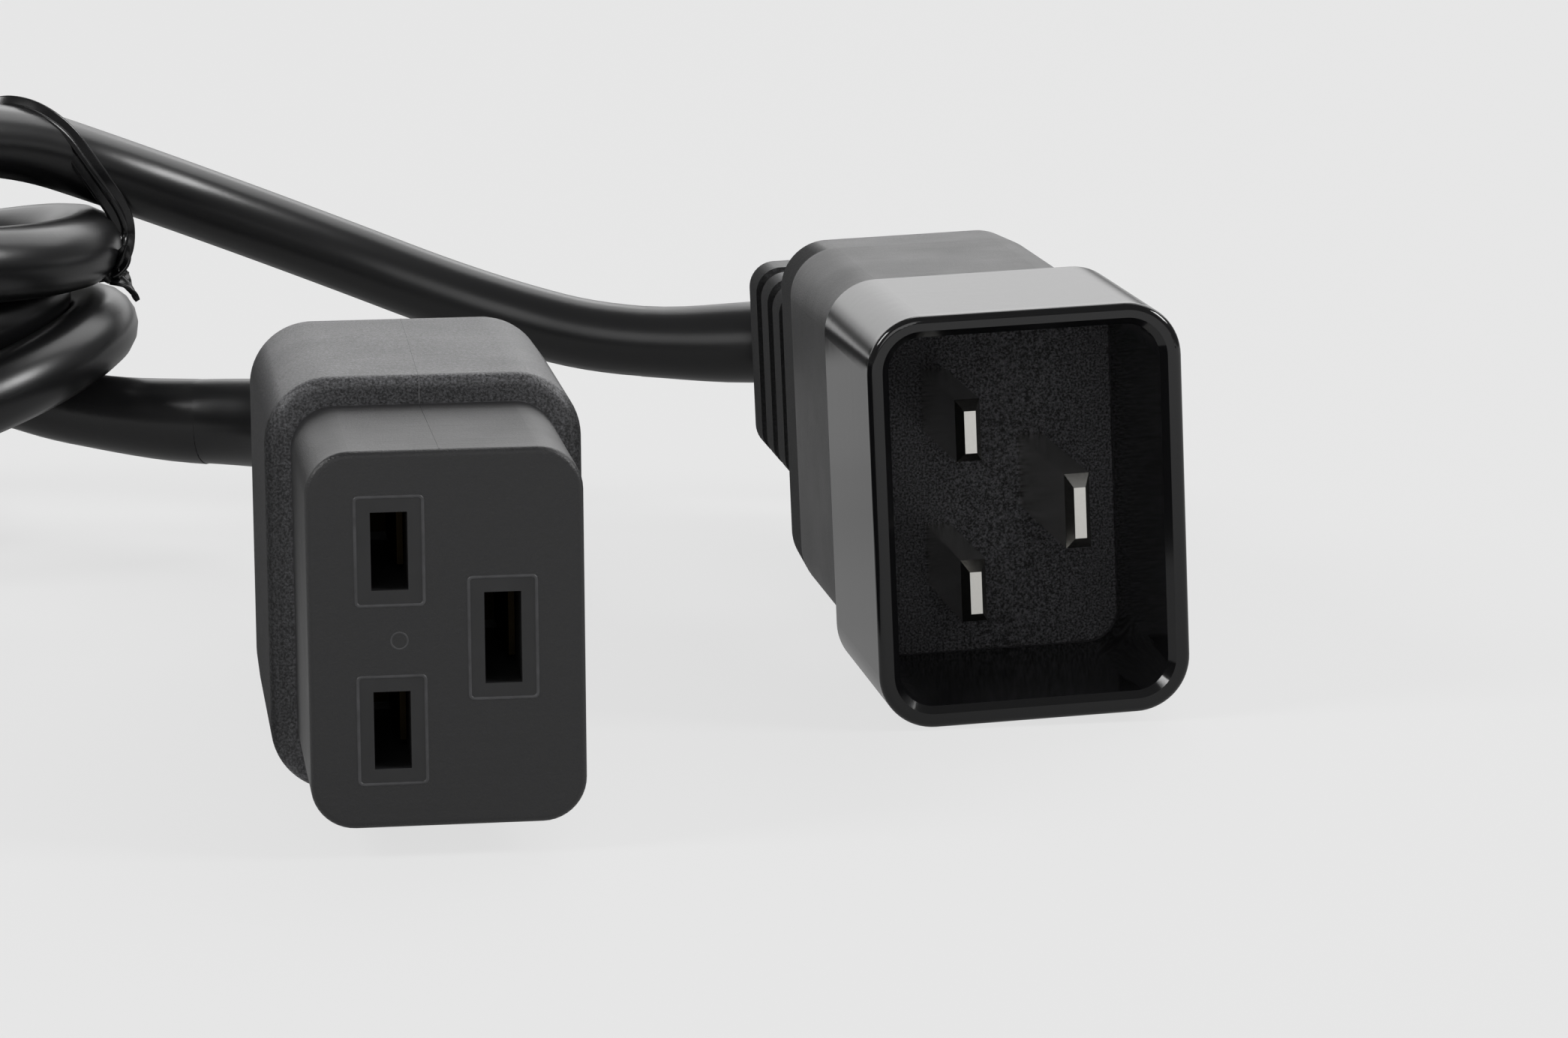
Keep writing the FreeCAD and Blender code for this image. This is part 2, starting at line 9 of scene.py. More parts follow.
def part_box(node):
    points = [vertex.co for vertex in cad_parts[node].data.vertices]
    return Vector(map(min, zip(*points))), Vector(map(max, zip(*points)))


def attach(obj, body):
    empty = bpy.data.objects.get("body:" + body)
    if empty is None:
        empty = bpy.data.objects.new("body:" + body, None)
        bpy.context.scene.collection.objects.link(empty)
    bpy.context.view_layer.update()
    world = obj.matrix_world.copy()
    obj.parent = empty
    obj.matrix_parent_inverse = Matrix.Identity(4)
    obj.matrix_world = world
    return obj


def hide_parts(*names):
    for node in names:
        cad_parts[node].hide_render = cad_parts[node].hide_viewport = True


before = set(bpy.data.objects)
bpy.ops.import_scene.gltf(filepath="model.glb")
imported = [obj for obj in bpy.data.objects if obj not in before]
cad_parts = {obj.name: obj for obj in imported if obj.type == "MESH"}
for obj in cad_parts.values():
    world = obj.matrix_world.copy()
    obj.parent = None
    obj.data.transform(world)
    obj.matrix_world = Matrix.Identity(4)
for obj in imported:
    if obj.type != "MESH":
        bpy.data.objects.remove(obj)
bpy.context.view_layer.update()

# Camera. It stands in front of the two connectors, a little to the left of the C19
# connector and above it, and looks slightly down and to the right.
PITCH, YAW, ROLL = 79.16, -8.12, -0.30  # degrees
camera = bpy.data.objects.new("camera", bpy.data.cameras.new("camera"))
bpy.context.collection.objects.link(camera)
bpy.context.scene.camera = camera
camera.location = (-0.02605, -0.38842, 0.09188)
camera.rotation_euler = (
    Euler((math.radians(PITCH), 0, math.radians(YAW))).to_matrix()
    @ Euler((0, 0, math.radians(ROLL))).to_matrix()
).to_euler()
camera.data.lens = 116.42
camera.data.sensor_width = 36
camera.data.clip_start = 0.01
bpy.context.scene.view_settings.view_transform = "Standard"


# The cord: one length of round three-core cable, 1.2 m long and 6.9 mm thick, with a
# smooth black PVC jacket. It runs from the C19 connector's strain relief, through a
# tied hank of four and a half turns, to the plug's. Each end loop is a half turn of
# its own size and height.
MILLIMETRES = 1000  # in a metre


def add(name, mesh, *replaced):
    """Adds a piece to the object, standing for the CAD nodes it replaces."""
    piece = bpy.data.objects.new(name, mesh)
    bpy.context.collection.objects.link(piece)
    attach(piece, "root")
    if replaced:
        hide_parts(*replaced)
    return piece


def colour(code):
    """Linear colour of an sRGB hex code."""
    parts = [int(code[k:k + 2], 16) / 255 for k in (1, 3, 5)]
    return [v / 12.92 if v <= 0.04045 else ((v + 0.055) / 1.055) ** 2.4
            for v in parts] + [1.0]


def material(name, base, roughness, **shader):
    """Material with one Principled shader: the material, its tree and the shader.

    A pattern may take the base colour's or the roughness's place later.
    """
    made = bpy.data.materials.new(name)
    made.use_nodes = True
    principled = made.node_tree.nodes["Principled BSDF"]
    principled.inputs["Base Color"].default_value = colour(base)
    principled.inputs["Roughness"].default_value = roughness
    for socket, value in shader.items():
        principled.inputs[socket].default_value = value
    return made, made.node_tree, principled


def feed(tree, node, inputs):
    """Sets a node's inputs, from other nodes' outputs or to plain values."""
    for name, value in inputs.items():
        if isinstance(value, bpy.types.NodeSocket):
            tree.links.new(value, node.inputs[name])
        else:
            node.inputs[name].default_value = value


def add_node(tree, kind, inputs=None, **properties):
    """Adds a node. Its properties come first, because they can change its sockets."""
    made = tree.nodes.new(kind)
    for name, value in properties.items():
        setattr(made, name, value)
    feed(tree, made, inputs or {})
    return made


def object_place(tree):
    """Place in the object's own space, in metres, which every pattern follows."""
    return add_node(tree, "ShaderNodeTexCoord").outputs["Object"]


def noise(tree, place, scale, detail, roughness=0.5):
    """Fractal noise, 0 to 1."""
    return add_node(tree, "ShaderNodeTexNoise",
                    {"Vector": place, "Scale": scale, "Detail": detail,
                     "Roughness": roughness}).outputs["Fac"]


def ramp(tree, value, start=0.0, stop=1.0, low=0.0, high=1.0, **properties):
    """Goes from low to high as the value goes from start to stop, and stays there."""
    return add_node(tree, "ShaderNodeMapRange",
                    {"Value": value, "From Min": start, "From Max": stop,
                     "To Min": low, "To Max": high}, **properties).outputs["Result"]


def bump(tree, height, strength, depth, over=None):
    """Normal bent by a height, over another bump if one is given."""
    inputs = {"Height": height, "Strength": strength, "Distance": depth}
    if over:
        inputs["Normal"] = over
    return add_node(tree, "ShaderNodeBump", inputs).outputs["Normal"]


def metres(place):
    """Point in metres, from one in millimetres."""
    return Vector(place) / MILLIMETRES


CORD_DIAMETER = 0.0069
# The route's points and sizes, in millimetres
C19_TAIL = [(-14.62, 81.96, 12.03), (-23.7, 85.9, 12.1), (-34.5, 88.0, 15.6),
            (-45.5, 89.5, 16.6), (-57.0, 93.0, 13.2), (-69.0, 99.0, 7.5),
            (-82.0, 105.5, 4.0)]
C20_TAIL = [(-74.0, 68.0, 34.8), (-57.0, 69.0, 37.4), (-43.0, 77.0, 38.6),
            (-32.0, 87.5, 38.8), (-20.0, 96.5, 33.4), (-3.0, 100.0, 26.3),
            (14.0, 98.6, 19.4), (28.0, 94.6, 15.9), (39.46, 93.44, 16.25)]
HANK_MIDDLE = 92.2
# Right end loops: end, radius, and heights at the front, end and back
RIGHT_LOOPS = [(-40.0, 24.5, 3.6, 3.6, 3.6), (-22.8, 24.5, 13.0, 20.3, 10.7),
               (-29.0, 20.8, 20.2, 23.0, 16.4), (-24.1, 24.5, 29.3, 27.6, 22.2)]
# Left end loops: end, back and front y, and height
LEFT_LOOPS = [(-116.5, 109.0, 68.4, 3.6), (-122.0, 115.6, 69.2, 10.6),
              (-118.0, 115.0, 68.4, 17.6), (-122.5, 115.8, 69.2, 24.6),
              (-119.5, 114.8, 68.4, 31.6)]
CLEARANCE = 0.1      # between the floor and the lowest run
LOWEST = CORD_DIAMETER * MILLIMETRES / 2 + CLEARANCE
TURN_STEP = 30       # degrees between an end loop's points
RUN_START = 1.27     # distance from a loop's end to its runs, in radii
FIRST_SETTLE = 0.1   # how far below its left loop a back run lies
SETTLE = 1.5
FRONT_BOW = 0.6      # how far the runs' middles bow inwards
BACK_BOW = 0.7
FRONT_SAG = 0.4
LEFT_SWELL = 1.0     # power of the cosine by which a loop leaves its runs' height
RIGHT_SWELL = 1.3


def half_turn(end, y0, y1, z0, z_end, z1, swell):
    """Control points of an end loop, from one run to the other."""
    side = 1 if y1 > y0 else -1
    radius = abs(y1 - y0) / 2
    half_step = math.radians(TURN_STEP / 2)
    reach = radius / math.cos(half_step)
    start = end - side * radius * (1 + math.tan(half_step))
    points = [(start, y0, z0)]
    for degrees in range(TURN_STEP // 2 - 90, 90, TURN_STEP):
        angle = math.radians(degrees)
        run = z0 if degrees < 0 else z1
        points.append((end - side * (radius - reach * math.cos(angle)),
                       (y0 + y1) / 2 + side * reach * math.sin(angle),
                       run + (z_end - run) * math.cos(angle) ** swell))
    return points + [(start, y1, z1)]


route = list(C19_TAIL)
settle = FIRST_SETTLE
for left, right, following in zip(LEFT_LOOPS, RIGHT_LOOPS, LEFT_LOOPS[1:]):
    end, back, front, height = left
    route += half_turn(end, back, front, height - settle, height, height, LEFT_SWELL)
    end, radius, z_front, z_end, z_back = right
    near, far = HANK_MIDDLE - radius, HANK_MIDDLE + radius
    route.append(((route[-1][0] + end - RUN_START * radius) / 2,
                  (front + near) / 2 + FRONT_BOW,
                  max((height + z_front) / 2 - FRONT_SAG, LOWEST)))
    route += half_turn(end, near, far, z_front, z_end, z_back, RIGHT_SWELL)
    settle = SETTLE
    following_end, following_back, following_front, following_height = following
    reach = RUN_START * (following_back - following_front) / 2
    route.append(((route[-1][0] + following_end + reach) / 2,
                  (far + following_back) / 2 - BACK_BOW,
                  (z_back + following_height - settle) / 2))
end, back, front, height = LEFT_LOOPS[-1]
route += half_turn(end, back, front, height - settle, height, height, LEFT_SWELL)
route += C20_TAIL

cord_curve = bpy.data.curves.new("cord", "CURVE")
cord_curve.dimensions = "3D"
cord_curve.bevel_depth = 1  # times each point's own radius
cord_curve.bevel_resolution = 7
cord_curve.resolution_u = 10
line = cord_curve.splines.new("NURBS")
line.points.add(len(route) - 1)
for point, place in zip(line.points, route):
    point.co = (*metres(place), 1)
    point.radius = CORD_DIAMETER / 2
line.order_u = 3
line.use_endpoint_u = True
line.use_smooth = True
cord = add("power_cord", cord_curve, "cord_c19_tail", "cord_hank", "cord_c20_tail")

# Extruded PVC jacket: semi-matte, with faint unevenness from the three cores under it.
jacket, tree, shader = material("extruded_pvc_jacket", "#131314", 0.34)
place = object_place(tree)
waver = noise(tree, place, scale=90.0, detail=2.0)
grain = noise(tree, place, scale=1800.0, detail=3.0)
swell = bump(tree, waver, strength=0.25, depth=0.0004)
feed(tree, shader, {
    "Normal": bump(tree, grain, strength=0.12, depth=0.00004, over=swell),
    "Roughness": ramp(tree, waver, low=0.24, high=0.36)})
cord_curve.materials.append(jacket)


# Stage: a plain pale floor that sweeps up into a plain pale backdrop. It shows its own
# colour to the camera and in reflections, and takes a soft shadow. Reflections show a
# painted shadow on it close to the object, and a painted dark gap where the floor meets
# the lit backdrop.
STAGE_COLOUR = colour("#e5e5e5")
STAGE_HALF = 3.0
STAGE_BACK = 2.6
STAGE_BEND = 0.8
STAGE_TOP = 2.0
BEND_STEPS = 12
FLOOR_DROP = 0.0002  # keeps the floor just under the object
OWN_SHARE = 0.9      # how much of its own colour shows; light and shadow make the rest
# The gap is a painted dark band, seen only in reflections.
GAP_START = 0.9      # how far back the dark gap starts, and over how much it darkens
GAP_FADE = 0.3
GAP_TOP = 0.2
# The pool and the gap below are painted shade, seen only in reflections.
POOL_SHADE = 0.6     # how much darker the floor is close to the object
POOL_MIDDLE = (0.02, 0.12, 0.0)
POOL_INNER = 0.04
POOL_OUTER = 0.35


def calculate(tree, operation, first, second=0.0):
    """Result of a math node on two values or outputs."""
    return add_node(tree, "ShaderNodeMath", {0: first, 1: second},
                    operation=operation).outputs[0]


profile = [(-STAGE_HALF, 0.0), (STAGE_BACK - STAGE_BEND, 0.0)]
for step in range(1, BEND_STEPS + 1):
    angle = math.radians(90 / BEND_STEPS * step)
    profile.append((STAGE_BACK - STAGE_BEND + STAGE_BEND * math.sin(angle),
                    STAGE_BEND * (1 - math.cos(angle))))
profile.append((STAGE_BACK, STAGE_TOP))
stage_mesh = bpy.data.meshes.new("stage")
corners = [(x, y, z - FLOOR_DROP) for y, z in profile for x in (-STAGE_HALF, STAGE_HALF)]
stage_mesh.from_pydata(corners, [], [(2 * k, 2 * k + 1, 2 * k + 3, 2 * k + 2)
                                     for k in range(len(profile) - 1)])
stage_mesh.polygons.foreach_set("use_smooth", [True] * len(stage_mesh.polygons))
stage = bpy.data.objects.new("stage", stage_mesh)
bpy.context.collection.objects.link(stage)

paper = bpy.data.materials.new("pale_paper_sweep_painted_shadow")
paper.use_nodes = True
tree = paper.node_tree
tree.nodes.clear()
rays = add_node(tree, "ShaderNodeLightPath").outputs
seen = calculate(tree, "MAXIMUM", rays["Is Camera Ray"], rays["Is Glossy Ray"])
seen = calculate(tree, "MAXIMUM", seen, rays["Is Transmission Ray"])
shown = calculate(tree, "MULTIPLY", seen, OWN_SHARE)
place = object_place(tree)
axes = add_node(tree, "ShaderNodeSeparateXYZ", {0: place}).outputs
away = add_node(tree, "ShaderNodeVectorMath", {0: place, 1: POOL_MIDDLE},
                operation="DISTANCE").outputs["Value"]
# Painted shadow: reflections of the floor darken close to the object.
painted_shadow_pool = ramp(tree, away, POOL_INNER, POOL_OUTER, low=POOL_SHADE, high=0.0)
# Painted dark gap: reflections of the floor darken where it meets the backdrop.
far = ramp(tree, axes["Y"], GAP_START, GAP_START + GAP_FADE)
low = ramp(tree, axes["Z"], GAP_TOP, GAP_TOP / 2)
painted_dark = calculate(tree, "ADD", calculate(tree, "MULTIPLY", far, low), painted_shadow_pool)
painted_dark = calculate(tree, "MULTIPLY", painted_dark, rays["Is Glossy Ray"])
strength = calculate(tree, "SUBTRACT", 1.0, painted_dark)
lit = add_node(tree, "ShaderNodeBsdfDiffuse", {"Color": STAGE_COLOUR}).outputs[0]
glow = add_node(tree, "ShaderNodeEmission",
                {"Color": STAGE_COLOUR, "Strength": strength}).outputs[0]
mix = add_node(tree, "ShaderNodeMixShader", {0: shown, 1: lit, 2: glow}).outputs[0]
add_node(tree, "ShaderNodeOutputMaterial", {"Surface": mix})
stage_mesh.materials.append(paper)

# Light: a dim room and five softboxes. One stands high on each side, a large one high
# behind on the right, a weak one in front, and a wide one behind that the upper faces
# reflect. The camera sees the room as pale as the stage.
LAMP_TARGET = (0.0, 0.04, 0.02)
# Place, width, height and power in watts
SOFTBOXES = {"left_softbox": ((-1.5, -0.35, 1.35), 0.7, 0.7, 19),
             "right_softbox": ((1.55, -0.55, 1.1), 0.6, 0.6, 21),
             "rear_softbox": ((0.8, 1.1, 1.4), 1.8, 1.4, 17),
             "front_softbox": ((-0.3, -2.2, 0.9), 1.2, 1.2, 8),
             "back_softbox": ((0.0, 2.2, 0.85), 3.4, 1.3, 8)}
world = bpy.data.worlds.new("studio")
bpy.context.scene.world = world
world.use_nodes = True
tree = world.node_tree
rays = add_node(tree, "ShaderNodeLightPath").outputs
room = tree.nodes["Background"]
feed(tree, room, {"Color": colour("#7a7a7a")})
pale = add_node(tree, "ShaderNodeBackground", {"Color": STAGE_COLOUR})
mix = add_node(tree, "ShaderNodeMixShader",
               {0: rays["Is Camera Ray"], 1: room.outputs[0], 2: pale.outputs[0]})
feed(tree, tree.nodes["World Output"], {"Surface": mix.outputs[0]})

for name, (place, width, height, power) in SOFTBOXES.items():
    lamp = bpy.data.lights.new(name, "AREA")
    lamp.shape = "RECTANGLE"
    lamp.size = width
    lamp.size_y = height
    lamp.energy = power
    softbox = bpy.data.objects.new(name, lamp)
    bpy.context.collection.objects.link(softbox)
    softbox.location = place
    softbox.rotation_euler = (Vector(LAMP_TARGET) - Vector(place)).to_track_quat(
        "-Z", "Y").to_euler()
    softbox.visible_camera = False


# The C19 connector's overmould: soft black PVC, moulded round the sleeves and contacts
# in one shot. Its steel mould was spark eroded, finely on the nose and more coarsely on
# the body, whose lighter flecks are painted glints of the grain. The body's sides come
# out dull, and are painted darker as shade. Behind it, the strain relief grips the cord.
PVC_BLACK = "#1d1d1e"
# The dull colour is painted shade; the fleck colour is painted glints of the grain.
PVC_PAINTED_SHADE = "#070708"
PVC_GLINT_FLECK = "#707073"
# A dull wall is also painted darker, as shade.
SIDE_FADE = 0.0012      # over how much a wall turns dull
START_FADE = 0.0005     # over how much the flecks turn coarse
FLECKS_ON_WALLS = 0.25  # how strong the dull walls' flecks are, next to the top's


def blend_colour(tree, share, first, second):
    """Colour between two colours, by a share of the second."""
    return add_node(tree, "ShaderNodeMix", {0: share, 6: first, 7: second},
                    data_type="RGBA").outputs[2]


def blend(tree, share, first, second):
    """Value between two values, by a share of the second."""
    return add_node(tree, "ShaderNodeMix", {0: share, 2: first, 3: second},
                    data_type="FLOAT").outputs[0]


def off_middle(tree, along_axis, middle):
    """Distance from a middle along one axis."""
    return calculate(tree, "ABSOLUTE", calculate(tree, "SUBTRACT", along_axis, middle))


def stretched(tree, place, scale):
    """Place with each axis scaled, for lines that lie along one of them."""
    return add_node(tree, "ShaderNodeMapping",
                    {"Vector": place, "Scale": scale}).outputs[0]


def moulded_pvc(name, middle, side, start, glint_strength):
    """Spark-grained PVC, with lighter flecks behind a point along the body, painted as
    glints of its rougher grain.

    Its side walls there, which lie a distance to each side of its middle, are dull, and
    painted darker as shade.
    """
    made, tree, shader = material(name, PVC_BLACK, 0.5)
    place = object_place(tree)
    axes = add_node(tree, "ShaderNodeSeparateXYZ", {0: place}).outputs
    behind = ramp(tree, axes["Y"], start, start + START_FADE)
    walls = ramp(tree, off_middle(tree, axes["X"], middle), side - SIDE_FADE, side)
    dull_and_shaded = calculate(tree, "MULTIPLY", walls, behind)

    # The lighter flecks are painted glints of the rougher grain.
    grain = noise(tree, place, scale=5200.0, detail=3.0, roughness=0.7)
    glint_fleck = ramp(tree, grain, start=0.4, stop=0.7, high=glint_strength)
    bare = ramp(tree, dull_and_shaded, low=1.0, high=FLECKS_ON_WALLS)
    bare = calculate(tree, "MULTIPLY", bare, behind)
    glint_fleck = calculate(tree, "MULTIPLY", glint_fleck, bare)
    # The dull walls are painted darker, as shade.
    shade = blend_colour(tree, dull_and_shaded, colour(PVC_BLACK), colour(PVC_PAINTED_SHADE))

    cloud = noise(tree, place, scale=150.0, detail=4.0)
    gloss = ramp(tree, cloud, low=0.34, high=0.5)

    streak = noise(tree, stretched(tree, place, (45, 900, 900)), scale=1.0, detail=3.0)
    lines = bump(tree, streak, strength=0.25, depth=0.0001)
    feed(tree, shader, {
        "Base Color": blend_colour(tree, glint_fleck, shade, colour(PVC_GLINT_FLECK)),
        "Roughness": blend(tree, dull_and_shaded, gloss, 1.0),
        "Normal": bump(tree, grain, strength=0.5, depth=0.0001, over=lines)})
    return made


def finish(node, made):
    """Gives a CAD node its material."""
    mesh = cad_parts[node].data
    mesh.materials.clear()
    mesh.materials.append(made)


c19_pvc = moulded_pvc("moulded_pvc_c19_grain_painted_glints_shade", middle=0.0, side=0.0116,
                      start=-0.0164, glint_strength=0.8)
finish("c19_overmould", c19_pvc)
finish("c19_strain_relief", jacket)


# Round bars that follow a path: the strain reliefs' thin ends, the parting line, the
# moulding flash and the gate mark are all grown by this tree, from a path and two
# diameters. A strain relief ends in a thin cone of the same PVC that fades into the cord.
def geometry_tree(name, sizes):
    """Geometry tree with named sizes in metres or turns, and its two ends."""
    tree = bpy.data.node_groups.new(name, "GeometryNodeTree")
    for in_out in ("INPUT", "OUTPUT"):
        tree.interface.new_socket("Geometry", in_out=in_out,
                                  socket_type="NodeSocketGeometry")
    for size in sizes:
        tree.interface.new_socket(size, in_out="INPUT", socket_type="NodeSocketFloat")
    tree.interface.new_socket("Material", in_out="INPUT",
                              socket_type="NodeSocketMaterial")
    given = tree.nodes.new("NodeGroupInput").outputs
    return tree, given, tree.nodes.new("NodeGroupOutput")


def close_tree(tree, given, ends, path, profile, scale):
    """Ends a tree: a profile swept along a path, smoothed, real, with its material."""
    sweep = add_node(tree, "GeometryNodeCurveToMesh",
                     {"Curve": path, "Profile Curve": profile, "Scale": scale,
                      "Fill Caps": True})
    smooth = add_node(tree, "GeometryNodeSetShadeSmooth", {"Geometry": sweep.outputs[0]})
    real = add_node(tree, "GeometryNodeRealizeInstances",
                    {"Geometry": smooth.outputs[0]})
    dressed = add_node(tree, "GeometryNodeSetMaterial",
                       {"Geometry": real.outputs[0], "Material": given["Material"]})
    feed(tree, ends, {0: dressed.outputs[0]})


def evaluated_mesh(thing):
    """New mesh of an object as its modifiers leave it."""
    depsgraph = bpy.context.evaluated_depsgraph_get()
    return bpy.data.meshes.new_from_object(thing.evaluated_get(depsgraph))


def along_path(name, tree, points, made, sizes, closed=False, straight=False):
    """New mesh that a geometry tree grows along a path given in metres."""
    data = bpy.data.curves.new(name, "CURVE")
    data.dimensions = "3D"
    data.resolution_u = 8
    spline = data.splines.new("POLY" if straight else "NURBS")
    spline.points.add(len(points) - 1)
    for point, place in zip(spline.points, points):
        point.co = (*place, 1)
    spline.use_cyclic_u = closed
    if not straight:
        spline.order_u = 3
        spline.use_endpoint_u = True
    path = bpy.data.objects.new(name + "_path", data)
    bpy.context.collection.objects.link(path)
    grown = path.modifiers.new("grown", "NODES")
    grown.node_group = tree
    values = {**sizes, "Material": made}
    for socket in tree.interface.items_tree:
        if socket.in_out == "INPUT" and socket.name in values:
            grown[socket.identifier] = values[socket.name]
    mesh = evaluated_mesh(path)
    mesh.name = name
    bpy.data.objects.remove(path)
    return mesh


bar_tree, given, ends = geometry_tree("round_bar_along_path",
                                      ["Start Diameter", "End Diameter"])
along = add_node(bar_tree, "GeometryNodeSplineParameter").outputs["Factor"]
width = ramp(bar_tree, along, low=given["Start Diameter"], high=given["End Diameter"],
             interpolation_type="SMOOTHSTEP")
ring = add_node(bar_tree, "GeometryNodeCurvePrimitiveCircle",
                {"Resolution": 32, "Radius": 0.5})
close_tree(bar_tree, given, ends, given["Geometry"], ring.outputs["Curve"], width)


def add_bar(name, points, made, start, end, closed=False):
    """Adds a round bar along points, with a diameter at each end."""
    sizes = {"Start Diameter": start, "End Diameter": end}
    piece = add(name, along_path(name, bar_tree, points, made, sizes, closed,
                                 straight=True))


RELIEF_END_DIAMETER = 0.00792
RELIEF_TIP = 0.012
RELIEF_OVERLAP = 0.0015
TIP_SHARE = 0.995  # how thick the cone's end is, next to the cord it sinks into


def relief_tip(name, line):
    """Thin end of a strain relief, on the end of the cord where the line starts."""
    back = (line[0] - line[1]).normalized() * RELIEF_OVERLAP
    tip = [line[0] + back] + [point for point in line
                              if (point - line[0]).length < RELIEF_TIP]
    add_bar(name, tip, jacket, RELIEF_END_DIAMETER, CORD_DIAMETER * TIP_SHARE)


bare_curve = cord_curve.copy()
bare_curve.bevel_depth = 0
bare_cord = bpy.data.objects.new("bare_cord", bare_curve)
bpy.context.collection.objects.link(bare_cord)
cord_line = [vertex.co.copy() for vertex in evaluated_mesh(bare_cord).vertices]
bpy.data.objects.remove(bare_cord)
relief_tip("c19_relief_tip", cord_line)

# The C19 connector's parting line: a fine ridge along the top of the overmould, where
# the mould's two halves met. It drifts to the right towards the neck.
RIDGE = 0.00011
RIDGE_SUNK = 0.25  # how much of its diameter its middle lies under the surface
RIDGE_STEPS = 180
RIDGE_INSET = 0.0004
RIDGE_END = 0.0145
PARTING_X = -0.0003
DRIFT = 0.0007
DRIFT_START = -0.016
DRIFT_LENGTH = 0.03
RAY_HEIGHT = 0.01
shape = bmesh.new()
shape.from_mesh(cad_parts["c19_overmould"].data)
surface = BVHTree.FromBMesh(shape)
shape.free()
low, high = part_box("c19_overmould")
ridge = []
for step in range(RIDGE_STEPS + 1):
    y = low[1] + RIDGE_INSET + (RIDGE_END - low[1]) * step / RIDGE_STEPS
    x = PARTING_X + DRIFT * max(0.0, (y - DRIFT_START) / DRIFT_LENGTH)
    above = Vector((x, y, high[2] + RAY_HEIGHT))
    hit = surface.ray_cast(above, Vector((0, 0, -1)))[0]
    ridge.append(hit - Vector((0, 0, RIDGE * RIDGE_SUNK)))
add_bar("c19_parting_line", ridge, c19_pvc, RIDGE, RIDGE)

# The C19 connector's insert: three nylon sleeves and the carrier behind them. A thin
# bead of flash stands round each sleeve on the mating face, and a gate mark between
# the two sleeves on the left.
insert, tree, shader = material("moulded_nylon_insert", "#1a1a1b", 0.5)
flow = noise(tree, object_place(tree), scale=420.0, detail=3.0)
feed(tree, shader, {
    "Base Color": blend_colour(tree, flow, colour("#151516"), colour("#222223")),
    "Normal": bump(tree, flow, strength=0.3, depth=0.00005)})
for node in ("c19_line_sleeve", "c19_neutral_sleeve", "c19_earth_sleeve",
             "c19_contact_carrier"):
    finish(node, insert)

FLASH = 0.00028
FLASH_SUNK = 0.28  # how much of its diameter its middle lies behind the face
FLASH_CORNER = 0.0003
CORNER_STEP = 30   # degrees
GATE_RADIUS = 0.0006
GATE_SHIFT = 0.0006
GATE_SUNK = 0.00008
GATE_LINE = 0.0002
GATE_STEP = 15     # degrees


def arc(x, y, z, radius, degrees):
    """Points round a centre, parallel to the mating face."""
    return [Vector((x + radius * math.cos(math.radians(angle)), y,
                    z + radius * math.sin(math.radians(angle)))) for angle in degrees]


flash, tree, shader = material("moulding_flash", "#39393b", 0.45)
ragged = noise(tree, object_place(tree), scale=900.0, detail=2.0)
feed(tree, shader, {
    "Base Color": blend_colour(tree, ragged, colour("#222223"), colour("#464648"))})
for name in ("line", "neutral", "earth"):
    low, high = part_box("c19_%s_sleeve" % name)
    left, right = low[0] + FLASH_CORNER, high[0] - FLASH_CORNER
    bottom, top = low[2] + FLASH_CORNER, high[2] - FLASH_CORNER
    rim = []
    for x, z, start in ((left, bottom, 180), (right, bottom, 270), (right, top, 0),
                        (left, top, 90)):
        rim += arc(x, low[1] + FLASH * FLASH_SUNK, z, FLASH_CORNER,
                   range(start, start + 90 + CORNER_STEP, CORNER_STEP))
    add_bar("c19_%s_flash" % name, rim, flash, FLASH, FLASH, closed=True)

low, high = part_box("c19_line_sleeve")
earth_low, earth_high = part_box("c19_earth_sleeve")
gate = arc((low[0] + high[0]) / 2 + GATE_SHIFT, low[1] + GATE_SUNK,
           (earth_low[2] + earth_high[2]) / 2, GATE_RADIUS, range(0, 360, GATE_STEP))
add_bar("c19_gate_mark", gate, flash, GATE_LINE, GATE_LINE, closed=True)

# Spring contacts: stamped brass strip, folded round each blade's space, deep in the
# slots. Real brass is much brighter. Its colour is kept very dark here as painted shade,
# so that the slots look black, and it is patchily tarnished.
brass, tree, shader = material("stamped_brass_painted_shade", "#1f1a11", 0.4, Metallic=1.0)
tarnish = noise(tree, object_place(tree), scale=500.0, detail=4.0)
feed(tree, shader, {
    "Base Color": blend_colour(tree, tarnish, colour("#15110b"), colour("#2c2517")),
    "Roughness": ramp(tree, tarnish, low=0.3, high=0.55)})
for node in ("c19_line_contact", "c19_neutral_contact", "c19_earth_contact"):
    finish(node, brass)

# Cores: stranded copper in extruded PVC, brown for line, blue for neutral, and green
# with a yellow stripe for earth. They are hidden inside both ends.
BAND_FADE = 0.05
# Base colour, the colour of the band that winds along it, and where the band starts
CORES = {"line": ("#5a2c12", "#532810", 0.5),
         "neutral": ("#2a5aa8", "#26549e", 0.5),
         "earth": ("#4f8f2c", "#c9b72a", 0.55)}
for name, (base, stripe, start) in CORES.items():
    core, tree, shader = material("core_insulation_" + name, base, 0.4)
    wave = add_node(tree, "ShaderNodeTexWave",
                    {"Vector": object_place(tree), "Scale": 120.0, "Distortion": 0.6},
                    bands_direction="DIAGONAL").outputs["Fac"]
    band = ramp(tree, wave, start, start + BAND_FADE)
    feed(tree, shader, {
        "Base Color": blend_colour(tree, band, colour(base), colour(stripe))})
    finish("c19_%s_core" % name, core)
    finish("c20_%s_core" % name, core)

# The C20 plug's overmould: the same PVC, moulded over the back of the shroud. Its
# ribbed neck grips the strain relief, and its shoulders come out dull, and are painted
# darker as shade.
low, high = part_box("c20_overmould")
c20_pvc = moulded_pvc("moulded_pvc_c20_grain_painted_glints_shade", middle=(low[0] + high[0]) / 2,
                      side=0.0095, start=0.0456, glint_strength=0.3)
finish("c20_overmould", c20_pvc)
finish("c20_strain_relief", jacket)
relief_tip("c20_relief_tip", cord_line[::-1])
